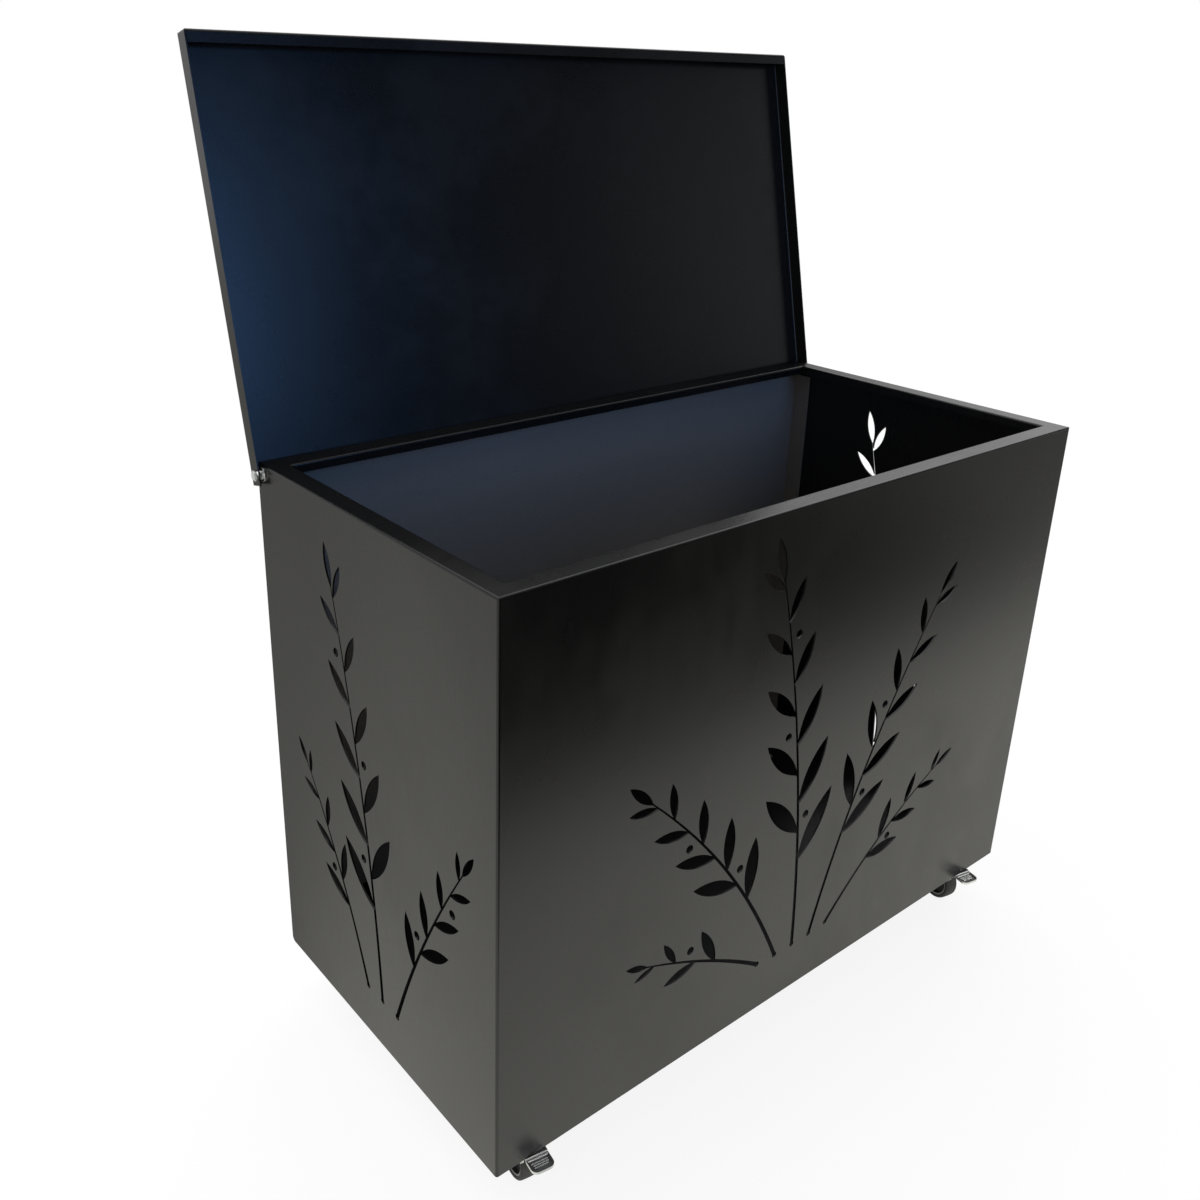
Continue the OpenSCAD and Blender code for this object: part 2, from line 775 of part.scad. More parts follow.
brake_pedal(0);  // brake_pedal_fl
brake_pedal(1);  // brake_pedal_fr
pedal_rivet(0);  // pedal_rivet_fl
pedal_rivet(1);  // pedal_rivet_fr
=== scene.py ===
"""Log box with a leaning lid, on four swivel castors: its finishes and fine metalwork."""

import json
import logging
import math
from collections.abc import Callable, Iterator
from contextlib import contextmanager
from dataclasses import dataclass, field
from enum import Enum

import bpy
from mathutils import Matrix, Vector


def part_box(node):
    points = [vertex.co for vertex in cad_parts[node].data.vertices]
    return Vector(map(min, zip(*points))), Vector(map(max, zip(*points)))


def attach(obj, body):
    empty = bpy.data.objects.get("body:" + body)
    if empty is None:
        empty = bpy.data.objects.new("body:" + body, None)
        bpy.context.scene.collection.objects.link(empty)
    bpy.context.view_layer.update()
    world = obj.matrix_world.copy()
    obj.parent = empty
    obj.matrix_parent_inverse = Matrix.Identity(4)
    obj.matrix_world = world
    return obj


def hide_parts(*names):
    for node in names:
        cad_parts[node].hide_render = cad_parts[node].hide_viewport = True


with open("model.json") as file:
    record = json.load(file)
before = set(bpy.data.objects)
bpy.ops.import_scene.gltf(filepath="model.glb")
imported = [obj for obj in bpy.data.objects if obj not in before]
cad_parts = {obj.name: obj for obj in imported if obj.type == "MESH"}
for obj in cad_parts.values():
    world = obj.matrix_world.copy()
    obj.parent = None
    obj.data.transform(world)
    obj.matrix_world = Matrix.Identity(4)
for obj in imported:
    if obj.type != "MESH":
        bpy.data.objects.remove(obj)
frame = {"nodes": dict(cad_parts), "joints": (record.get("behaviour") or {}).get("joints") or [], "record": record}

log = logging.getLogger("log_box")

MM = 0.001
MERGE = 1e-6
METALWORK = ("washer", "lock_nut", "hinge", "castor", "axle", "brake", "pedal")

Piece = bpy.types.Object
Socket = bpy.types.NodeSocket
Material = bpy.types.Material
Pair = tuple[float, float]
Triple = tuple[float, float, float]
# A ramp is two points, each the value that is read and the result there
Ramp = tuple[Pair, Pair]


class Slot(Enum):
    """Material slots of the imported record."""

    POWDER = "powder_coat"
    ZINC = "zinc"
    BALLS = "ball_steel"
    HUB = "hub_plastic"
    RUBBER = "grey_rubber"


class Corner(Enum):
    """The four castors' places, as the node names end."""

    FRONT_LEFT = "fl"
    FRONT_RIGHT = "fr"
    REAR_LEFT = "rl"
    REAR_RIGHT = "rr"

    @property
    def braked(self) -> bool:
        """Only the front castors carry a brake."""
        return self in (Corner.FRONT_LEFT, Corner.FRONT_RIGHT)


class Mask(Enum):
    """The surface effect that a colour or a roughness follows."""

    SPECKS = "specks of the fine grain"
    SMEARS = "soft smears"


# Shader building

class Sketch:
    """Places and links the nodes of one material, world or node group."""

    def __init__(self, tree: bpy.types.NodeTree) -> None:
        """Starts on a node tree.

        Args:
            tree: The tree that the nodes go into.
        """
        self.tree = tree

    def node(self, kind: str, inputs: dict | None = None, **options: object) -> bpy.types.Node:
        """Adds a node.

        Args:
            kind: The node's type name without its ShaderNode prefix.
            inputs: Values or output sockets, by input name or number.
            options: Properties of the node.

        Returns:
            The new node.
        """
        made = self.tree.nodes.new("ShaderNode" + kind)
        for name, value in options.items():
            setattr(made, name, value)
        for name, value in (inputs or {}).items():
            if isinstance(value, Socket):
                self.tree.links.new(value, made.inputs[name])
            else:
                made.inputs[name].default_value = value
        return made

    def maths(self, operation: str, *values: object) -> Socket:
        """Adds a maths node.

        Args:
            operation: Blender's name of the operation.
            values: Its inputs, in order.

        Returns:
            The result's socket.
        """
        return self.node("Math", dict(enumerate(values)), operation=operation).outputs[0]

    def noise(self, place: Socket, scale: object, detail: float, keep: float = 0.55) -> Socket:
        """Adds a noise texture.

        Args:
            place: Where the noise is read.
            scale: Noise cells in a metre.
            detail: How many finer layers it has.
            keep: How strong each finer layer is against the one before.

        Returns:
            The noise value's socket.
        """
        inputs = {"Vector": place, "Scale": scale, "Detail": detail, "Roughness": keep}
        return self.node("TexNoise", inputs).outputs["Fac"]

    def between(self, value: object, low: Pair, high: Pair) -> Socket:
        """Maps a value smoothly along a ramp.

        Args:
            value: The value that is mapped.
            low: Where the ramp starts and the result there.
            high: Where it ends and the result there.

        Returns:
            The mapped value's socket.
        """
        ends = {"From Min": low[0], "To Min": low[1], "From Max": high[0], "To Max": high[1]}
        made = self.node("MapRange", {"Value": value, **ends}, interpolation_type="SMOOTHSTEP")
        return made.outputs["Result"]

    def blended(self, mask: object, low: object, high: object) -> Socket:
        """Mixes two values by a mask."""
        return self.node("Mix", {0: mask, 2: low, 3: high}, data_type="FLOAT").outputs[0]

    def tinted(self, mask: object, low: Triple, high: Triple) -> Socket:
        """Mixes two colours by a mask."""
        return self.node("Mix", {0: mask, 6: (*low, 1), 7: (*high, 1)}, data_type="RGBA").outputs[2]


def new_group(name: str, inputs: dict[str, float | None], outputs: list[str]
              ) -> tuple[bpy.types.NodeTree, Sketch, bpy.types.Node, bpy.types.Node]:
    """Starts a node group with named sockets.

    Args:
        name: The group's name.
        inputs: Each value's default by name, or None for a place.
        outputs: Names of its outputs, which are all single values.

    Returns:
        The group, its sketch, its input node and its output node.
    """
    group = bpy.data.node_groups.new(name, "ShaderNodeTree")
    for label, value in inputs.items():
        kind = "NodeSocketVector" if value is None else "NodeSocketFloat"
        socket = group.interface.new_socket(label, in_out="INPUT", socket_type=kind)
        if value is not None:
            socket.default_value = value
    for label in outputs:
        group.interface.new_socket(label, in_out="OUTPUT", socket_type="NodeSocketFloat")
    return group, Sketch(group), group.nodes.new("NodeGroupInput"), group.nodes.new("NodeGroupOutput")


@dataclass
class SurfaceEffects:
    """Node groups that several finishes share.

    Attributes:
        coarse_scale: Grains of the coarse layer for each of the fine one.
        specks: From the fine grain's value to how much of a speck it is.
        patches: From the broad noise's value to the patches' strength.
        streaks: Wiped streaks in a metre.
        flatten: Scale of the streaks along X and Z.
        gain: Strength of the streaks in the patches.
    """

    coarse_scale: float = 0.3
    specks: Ramp = ((0.5, 0.0), (0.72, 1.0))
    patches: Ramp = ((0.35, 0.0), (0.7, 1.0))
    streaks: float = 40.0
    flatten: Pair = (1.0, 0.6)
    gain: float = 1.6
    grain: bpy.types.NodeTree = field(init=False)
    smears: bpy.types.NodeTree = field(init=False)

    def __post_init__(self) -> None:
        """Builds both groups once."""
        self.grain = self.build_grain()
        self.smears = self.build_smears()

    def build_grain(self) -> bpy.types.NodeTree:
        """Builds a fine grain in two sizes, as a height and as specks.

        Returns:
            The node group.
        """
        group, sketch, given, out = new_group(
            "fine_grain", {"Place": None, "Grains per metre": 900.0, "Coarse share": 0.35},
            ["Height", "Specks"])
        place, grains = given.outputs["Place"], given.outputs["Grains per metre"]
        fine = sketch.noise(place, grains, detail=1.0)
        coarse = sketch.noise(place, sketch.maths("MULTIPLY", grains, self.coarse_scale), detail=2.0)
        group.links.new(sketch.blended(given.outputs["Coarse share"], fine, coarse), out.inputs["Height"])
        group.links.new(sketch.between(fine, *self.specks), out.inputs["Specks"])
        return group

    def build_smears(self) -> bpy.types.NodeTree:
        """Builds broad soft patches with fine wiped streaks in them.

        Returns:
            The node group.
        """
        group, sketch, given, out = new_group(
            "soft_smears", {"Place": None, "Patches per metre": 6.0, "Streak": 5.0}, ["Mask"])
        place = given.outputs["Place"]
        broad = sketch.noise(place, given.outputs["Patches per metre"], detail=3.0)
        along_x, along_z = self.flatten
        stretch = sketch.node("CombineXYZ", {0: along_x, 1: given.outputs["Streak"], 2: along_z})
        pulled = sketch.node("VectorMath", {0: place, 1: stretch.outputs[0]}, operation="MULTIPLY")
        wiped = sketch.noise(pulled.outputs[0], self.streaks, detail=3.0)
        product = sketch.maths("MULTIPLY", sketch.between(broad, *self.patches), wiped)
        group.links.new(sketch.maths("MULTIPLY", product, self.gain), out.inputs["Mask"])
        return group


@dataclass(frozen=True)
class Finish:
    """A material made from one finish's values.

    Attributes:
        name: The material's name.
        colours: Its colour where the colour's mask is 0, and where it is 1.
        roughness: Its roughness where the roughness's mask is low, and where it is high.
        patches: Smeared patches in a metre.
        grains: Grains in a metre.
        depth: Height of the grain, or 0 for a polished surface.
        metallic: 1 for bare metal.
        colour_by: The mask that the colour follows.
        rough_by: The mask that the roughness follows.
        rough_span: Which of the mask's values count as low and as high.
    """

    name: str
    colours: tuple[Triple, Triple]
    roughness: Pair
    patches: float
    grains: float = 2600.0
    depth: float = 0.0
    metallic: float = 0.0
    colour_by: Mask = Mask.SMEARS
    rough_by: Mask = Mask.SMEARS
    rough_span: Pair = (0.0, 0.8)

    def material(self, effects: SurfaceEffects) -> Material:
        """Builds the material.

        Args:
            effects: The shared node groups.

        Returns:
            The finished material.
        """
        made = bpy.data.materials.new(self.name)
        made.use_nodes = True
        made.node_tree.nodes.clear()
        sketch = Sketch(made.node_tree)
        place = sketch.node("TexCoord").outputs["Object"]
        grain = sketch.node(
            "Group", {"Place": place, "Grains per metre": self.grains}, node_tree=effects.grain)
        smears = sketch.node(
            "Group", {"Place": place, "Patches per metre": self.patches}, node_tree=effects.smears)
        masks = {Mask.SPECKS: grain.outputs["Specks"], Mask.SMEARS: smears.outputs["Mask"]}
        inputs = {
            "Base Color": sketch.tinted(masks[self.colour_by], *self.colours),
            "Roughness": sketch.between(masks[self.rough_by], *zip(self.rough_span, self.roughness)),
            "Metallic": self.metallic,
        }
        if self.depth:
            bump = sketch.node("Bump", {"Height": grain.outputs["Height"], "Distance": self.depth})
            inputs["Normal"] = bump.outputs[0]
        shader = sketch.node("BsdfPrincipled", inputs)
        sketch.node("OutputMaterial", {"Surface": shader.outputs[0]})
        return made


@dataclass(frozen=True)
class PowderCoat(Finish):
    """Satin powder coat over sheet steel: paler specks in its grain, wiped patches in its gloss."""

    name: str = "satin_powder_coat"
    colours: tuple[Triple, Triple] = ((0.0062, 0.0064, 0.0066), (0.014, 0.0144, 0.015))
    roughness: Pair = (0.27, 0.34)
    patches: float = 3.5
    grains: float = 850.0
    depth: float = 0.09 * MM
    colour_by: Mask = Mask.SPECKS
    rough_span: Pair = (0.1, 0.8)


@dataclass(frozen=True)
class ZincPlate(Finish):
    """Bright zinc plating on pressed steel, slightly mottled."""

    name: str = "bright_zinc"
    colours: tuple[Triple, Triple] = ((0.74, 0.75, 0.74), (0.50, 0.52, 0.54))
    roughness: Pair = (0.28, 0.42)
    patches: float = 60.0
    depth: float = 0.01 * MM
    metallic: float = 1.0


@dataclass(frozen=True)
class BallSteel(Finish):
    """Polished, hardened balls with amber patches of grease."""

    name: str = "greased_ball_steel"
    colours: tuple[Triple, Triple] = ((0.62, 0.62, 0.61), (0.42, 0.36, 0.22))
    roughness: Pair = (0.08, 0.35)
    patches: float = 300.0
    metallic: float = 1.0


@dataclass(frozen=True)
class HubPlastic(Finish):
    """Moulded plastic of the wheels' cores, with a spark-eroded skin and scuffs."""

    name: str = "moulded_hub"
    colours: tuple[Triple, Triple] = ((0.016, 0.016, 0.018), (0.035, 0.035, 0.037))
    roughness: Pair = (0.42, 0.6)
    patches: float = 50.0
    grains: float = 3200.0
    depth: float = 0.02 * MM


@dataclass(frozen=True)
class GreyRubber(Finish):
    """Matt grey rubber, dusty in patches and rougher on its specks."""

    name: str = "grey_tread_rubber"
    colours: tuple[Triple, Triple] = ((0.05, 0.05, 0.048), (0.12, 0.117, 0.108))
    roughness: Pair = (0.62, 0.85)
    patches: float = 70.0
    grains: float = 2400.0
    depth: float = 0.05 * MM
    rough_by: Mask = Mask.SPECKS
    rough_span: Pair = (0.0, 1.0)


# A paler, warmer coat for the rear panel's inner side: painted light, standing for light that falls into the box
# onto the rear wall
REAR_WALL_PAINTED_LIGHT = PowderCoat("thin_slate_coat", ((0.25, 0.222, 0.195), (0.3, 0.27, 0.24)), (0.4, 0.55))
# A pale ring on the hub's rim: partly its own colour, partly a painted highlight where that edge catches light
PALE_RING_HIGHLIGHT = HubPlastic("pale_hub_ring", ((0.4, 0.4, 0.405), (0.5, 0.5, 0.49)))
BLACK_SIDE = GreyRubber("black_side_rubber", ((0.006, 0.006, 0.007), (0.012, 0.012, 0.012)), (0.42, 0.55))


# Modelling

class Bench:
    """Models one piece at a time with Blender's own operators.

    Attributes:
        FLAT: Faces that meet at less than this are one face.
        FOLD: Edges sharper than this are rounded.
        SOFT: Edges flatter than this are shaded smooth on a rounded sheet or pressing.
        ROUND: Edges flatter than this are shaded smooth on a turned piece.
        EDGE_FACES: Faces across each rounded edge.
        FACE_WEIGHT: How far large faces outweigh small ones in the shading, of 100.
        DRILL_SIDES: Faces round a drilled hole.
        CONE_STEPS: Faces round the cone that turns off a hexagon's ends.
        CONE_END: The cone's radius at the end, as a share of the hexagon's.
        CONE_GROWTH: How much its radius grows, as such a share, over half as much length.
    """

    FLAT = math.radians(0.4)
    FOLD = math.radians(40)
    SOFT = math.radians(30)
    ROUND = math.radians(35)
    EDGE_FACES = 2
    FACE_WEIGHT = 100
    DRILL_SIDES = 48
    CONE_STEPS = 48
    CONE_END = 0.9
    CONE_GROWTH = 0.2

    @staticmethod
    def clear() -> None:
        """Leaves edit mode and deselects every object."""
        if bpy.context.mode != "OBJECT":
            bpy.ops.object.mode_set(mode="OBJECT")
        bpy.ops.object.select_all(action="DESELECT")

    @staticmethod
    def hold(piece: Piece) -> None:
        """Makes a piece the only selected and the active one.

        Args:
            piece: The piece to hold.
        """
        Bench.clear()
        piece.select_set(True)
        bpy.context.view_layer.objects.active = piece

    @staticmethod
    @contextmanager
    def editing(piece: Piece) -> Iterator[None]:
        """Works on a piece in edit mode, on its vertices.

        Args:
            piece: The piece to edit.
        """
        Bench.hold(piece)
        bpy.ops.object.mode_set(mode="EDIT")
        bpy.ops.mesh.select_mode(type="VERT")
        yield
        bpy.ops.object.mode_set(mode="OBJECT")

    @staticmethod
    def apply(piece: Piece, kind: str, **options: object) -> None:
        """Adds a modifier to a piece and applies it.

        Args:
            piece: The piece.
            kind: Blender's name of the modifier's type.
            options: The modifier's settings.
        """
        Bench.hold(piece)
        modifier = piece.modifiers.new(kind.lower(), kind)
        for name, value in options.items():
            setattr(modifier, name, value)
        bpy.ops.object.modifier_apply(modifier=modifier.name)

    @staticmethod
    def smooth(piece: Piece, angle: float) -> None:
        """Shades a piece smooth below an angle."""
        Bench.hold(piece)
        bpy.ops.object.shade_smooth_by_angle(angle=angle)

    @staticmethod
    def place(piece: Piece, matrix: Matrix) -> None:
        """Moves a piece by a matrix and keeps its object at the origin.

        Args:
            piece: The piece.
            matrix: Where it goes.
        """
        Bench.hold(piece)
        piece.matrix_world = matrix
        bpy.ops.object.transform_apply(location=True, rotation=True, scale=True)

    @staticmethod
    def copy(piece: Piece, name: str) -> Piece:
        """Copies a piece with its own mesh.

        Args:
            piece: The piece that is copied.
            name: The copy's name.

        Returns:
            The copy.
        """
        made = piece.copy()
        made.data = piece.data.copy()
        made.name = made.data.name = name
        bpy.context.scene.collection.objects.link(made)
        return made

    @staticmethod
    def discard(*pieces: Piece) -> None:
        """Takes pieces that have been copied or used up off the bench."""
        for piece in pieces:
            bpy.data.objects.remove(piece)

    @staticmethod
    def turned(name: str, section: list[Pair], steps: int) -> Piece:
        """Turns a closed section about the X axis, as on a lathe.

        Args:
            name: The piece's name.
            section: Corners as (along X, radius), in order round the section.
            steps: Stations round the axis.

        Returns:
            The turned piece.
        """
        Bench.clear()
        bpy.ops.mesh.primitive_plane_add(size=1)
        piece = bpy.context.object
        piece.name = piece.data.name = name
        with Bench.editing(piece):
            bpy.ops.mesh.select_all(action="SELECT")
            bpy.ops.mesh.merge(type="CENTER")
            bpy.ops.transform.translate(value=(section[0][0], 0, section[0][1]))
            for here, there in zip(section, [*section[1:], section[0]]):
                step = (there[0] - here[0], 0, there[1] - here[1])
                bpy.ops.mesh.extrude_region_move(TRANSFORM_OT_translate={"value": step})
            bpy.ops.mesh.select_all(action="SELECT")
            bpy.ops.mesh.remove_doubles(threshold=MERGE)
            bpy.ops.mesh.select_all(action="SELECT")
            bpy.ops.mesh.spin(steps=steps, angle=math.tau, center=(0, 0, 0), axis=(1, 0, 0))
            bpy.ops.mesh.select_all(action="SELECT")
            bpy.ops.mesh.remove_doubles(threshold=MERGE)
            bpy.ops.mesh.normals_make_consistent(inside=False)
        return piece

    @staticmethod
    def bar(sides: int, radius: float, start: float, length: float) -> Piece:
        """Sets a straight bar along X.

        Args:
            sides: How many sides it has.
            radius: Radius to its corners.
            start: Where it starts on X.
            length: Its length.

        Returns:
            The bar.
        """
        Bench.clear()
        bpy.ops.mesh.primitive_cylinder_add(
            vertices=sides, radius=radius, depth=length,
            location=(start + length / 2, 0, 0), rotation=(0, math.pi / 2, 0))
        made = bpy.context.object
        Bench.place(made, made.matrix_world.copy())
        return made

    @staticmethod
    def hexagon(name: str, radius: float, start: float, height: float) -> Piece:
        """Makes a hexagon along X with turned-off corners at both ends.

        Args:
            name: The piece's name.
            radius: Radius to the corners.
            start: Where it starts on X.
            height: Its length along X.

        Returns:
            The new piece.
        """
        piece = Bench.bar(6, radius, start, height)
        piece.name = piece.data.name = name
        narrow, growth = Bench.CONE_END * radius, Bench.CONE_GROWTH * radius
        wide, end = narrow + growth, start + height
        section = [(start, 0.0), (start, narrow), (start + growth / 2, wide),
                   (end - growth / 2, wide), (end, narrow), (end, 0.0)]
        cone = Bench.turned(name + "_cone", section, Bench.CONE_STEPS)
        Bench.apply(piece, "BOOLEAN", object=cone, operation="INTERSECT", solver="EXACT")
        Bench.discard(cone)
        return piece

    @staticmethod
    def bored(piece: Piece, radius: float, length: float) -> None:
        """Drills a round hole along X through a piece on the axis.

        Args:
            piece: The piece.
            radius: The hole's radius.
            length: How far the drill reaches from the origin.
        """
        drill = Bench.bar(Bench.DRILL_SIDES, radius, 0.0, length)
        Bench.apply(piece, "BOOLEAN", object=drill, operation="DIFFERENCE", solver="EXACT")
        Bench.discard(drill)

    @staticmethod
    def joined(name: str, *pieces: Piece) -> Piece:
        """Joins pieces into one.

        Args:
            name: The new piece's name.
            pieces: The pieces, of which the first one grows.

        Returns:
            The joined piece.
        """
        Bench.hold(pieces[0])
        for piece in pieces[1:]:
            piece.select_set(True)
        bpy.ops.object.join()
        made = bpy.context.object
        made.name = made.data.name = name
        return made

    @staticmethod
    def faces(piece: Piece, test: Callable[[Vector, Vector], bool]) -> list[int]:
        """Numbers of the faces whose centre and normal pass a test."""
        return [face.index for face in piece.data.polygons if test(face.center, face.normal)]

    @staticmethod
    def deburred(node: str, width: float) -> Piece:
        """Copies a CAD node, closes its mesh and rounds its sharp edges.

        Args:
            node: The CAD node's name.
            width: Width of the rounding.

        Returns:
            The finer piece.
        """
        piece = Bench.copy(frame["nodes"][node], node + "_finished")
        for key in list(piece.keys()):
            del piece[key]
        piece.parent = None
        piece.matrix_world = Matrix.Identity(4)
        piece.data.materials.clear()
        with Bench.editing(piece):
            bpy.ops.mesh.customdata_custom_splitnormals_clear()
            bpy.ops.mesh.select_all(action="SELECT")
            bpy.ops.mesh.remove_doubles(threshold=MERGE)
            bpy.ops.mesh.select_all(action="SELECT")
            bpy.ops.mesh.dissolve_limited(angle_limit=Bench.FLAT)
        Bench.apply(
            piece, "BEVEL", width=width, segments=Bench.EDGE_FACES, limit_method="ANGLE",
            angle_limit=Bench.FOLD, miter_outer="MITER_ARC")
        Bench.smooth(piece, Bench.SOFT)
        Bench.apply(piece, "WEIGHTED_NORMAL", keep_sharp=True, weight=Bench.FACE_WEIGHT)
        return piece


def rounded(corners: list[Pair], radius: float, steps: int = 3) -> list[Pair]:
    """Rounds every corner of a closed section.

    Args:
        corners: The section's corners, in order.
        radius: Distance from each corner at which the rounding starts.
        steps: Faces across each rounding.

    Returns:
        The rounded section.
    """
    made = []
    for i, corner in enumerate(corners):
        here = Vector(corner)
        before = (Vector(corners[i - 1]) - here).normalized() * radius
        after = (Vector(corners[(i + 1) % len(corners)]) - here).normalized() * radius
        for k in range(steps + 1):
            t = k / steps
            made.append(tuple(here + before * (1 - t) ** 2 + after * t ** 2))
    return made


def joint_named(name: str) -> dict:
    """One of the frame's joints."""
    return next(joint for joint in frame["joints"] if joint["name"] == name)


@dataclass
class Shop:
    """The materials that every sub-assembly takes its finish from, and the pieces that have theirs."""

    powder: Material
    rear_wall_light: Material
    zinc: Material
    balls: Material
    hub: Material
    ring: Material
    rubber: Material
    side: Material
    fitted: list[Piece] = field(default_factory=list)

    @classmethod
    def opened(cls) -> "Shop":
        """Builds every material once, in the order of the fields.

        Returns:
            The shop.
        """
        effects = SurfaceEffects()
        finishes = (PowderCoat(), REAR_WALL_PAINTED_LIGHT, ZincPlate(), BallSteel(),
                    HubPlastic(), PALE_RING_HIGHLIGHT, GreyRubber(), BLACK_SIDE)
        return cls(*(finish.material(effects) for finish in finishes))

    def dress_frame(self) -> None:
        """Gives every CAD node the material of its slot."""
        by_slot = {
            Slot.POWDER.value: self.powder, Slot.ZINC.value: self.zinc, Slot.BALLS.value: self.balls,
            Slot.HUB.value: self.hub, Slot.RUBBER.value: self.rubber,
        }
        for row in frame["record"]["subparts"]:
            for holder in frame["nodes"][row["node"]].material_slots:
                holder.material = by_slot[row["material_slot"]]

    def fit(self, piece: Piece, body: str, slot: Slot, material: Material, node: str) -> None:
        """Gives a piece its finish and its place on the frame.

        Args:
            piece: The finished piece.
            body: The CAD body that it rides on.
            slot: The record's slot for its finish.
            material: Its material.
            node: The CAD node that it stands for.
        """
        piece.data.materials.clear()
        piece.data.materials.append(material)
        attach(piece, body)
        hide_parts(node)
        self.fitted.append(piece)
        log.info("%s rides on %s, %d faces", piece.name, body, len(piece.data.polygons))

    @staticmethod
    def second_coat(piece: Piece, material: Material, faces: list[int]) -> None:
        """Gives some faces of a fitted piece a second material.

        Args:
            piece: The piece.
            material: The second material.
            faces: Numbers of the faces that take it.
        """
        piece.data.materials.append(material)
        for number in faces:
            piece.data.polygons[number].material_index = 1


# Studio

@dataclass(frozen=True)
class Viewpoint:
    """The photograph's camera, solved from the box's own edges.

    Attributes:
        place: Where the lens is.
        heading: Degrees to the right of the box's depth.
        tilt: Degrees upwards.
        roll: Degrees anticlockwise.
        focal_px: Focal length in the photograph's pixels.
        centre_px: The photograph's pixel on the lens's axis.
        image_px: Width and height of the photograph.
        sensor: Width of the camera's sensor, in its own millimetres.
    """

    place: Triple = (-0.8611, -0.8704, 0.9918)
    heading: float = 39.2745
    tilt: float = -21.2245
    roll: float = 1.3504
    focal_px: float = 1173.97
    centre_px: Pair = (560.26, 534.01)
    image_px: float = 1200.0
    sensor: float = 36.0

    def build(self) -> None:
        """Adds the camera and makes it the scene's."""
        data = bpy.data.cameras.new("photo_camera")
        data.sensor_width = self.sensor
        data.lens = self.sensor * self.focal_px / self.image_px
        data.shift_x = (self.image_px / 2 - self.centre_px[0]) / self.image_px
        data.shift_y = (self.centre_px[1] - self.image_px / 2) / self.image_px
        camera = bpy.data.objects.new("photo_camera", data)
        bpy.context.scene.collection.objects.link(camera)
        turn = Matrix.Rotation(-math.radians(self.heading), 4, "Z")
        nod = Matrix.Rotation(math.pi / 2 + math.radians(self.tilt), 4, "X")
        lean = Matrix.Rotation(math.radians(self.roll), 4, "Z")
        camera.matrix_world = Matrix.Translation(self.place) @ turn @ nod @ lean
        bpy.context.scene.camera = camera


@dataclass(frozen=True)
class SoftBox:
    """A rectangular studio lamp.

    Attributes:
        name: The lamp's name.
        place: Where it stands.
        target: What it points at.
        size: Its width and height.
        power: Its power in watts.
        colour: Its colour.
        reach: How the names of the pieces that it lights begin.
    """

    name: str
    place: Triple
    target: Triple
    size: Pair
    power: float
    colour: Triple
    reach: tuple[str, ...]

    def build(self, fitted: list[Piece]) -> None:
        """Adds the lamp and lets it light only the pieces in its reach.

        Args:
            fitted: The finished pieces.
        """
        data = bpy.data.lights.new(self.name, "AREA")
        data.shape = "RECTANGLE"
        data.size, data.size_y = self.size
        data.energy = self.power
        data.color = self.colour
        lamp = bpy.data.objects.new(self.name, data)
        bpy.context.scene.collection.objects.link(lamp)
        lamp.location = self.place
        aim = Vector(self.target) - Vector(self.place)
        lamp.rotation_euler = aim.to_track_quat("-Z", "Y").to_euler()
        reached = bpy.data.collections.new(self.name + "_reach")
        for piece in fitted:
            if piece.name.startswith(self.reach):
                reached.objects.link(piece)
        lamp.light_linking.receiver_collection = reached


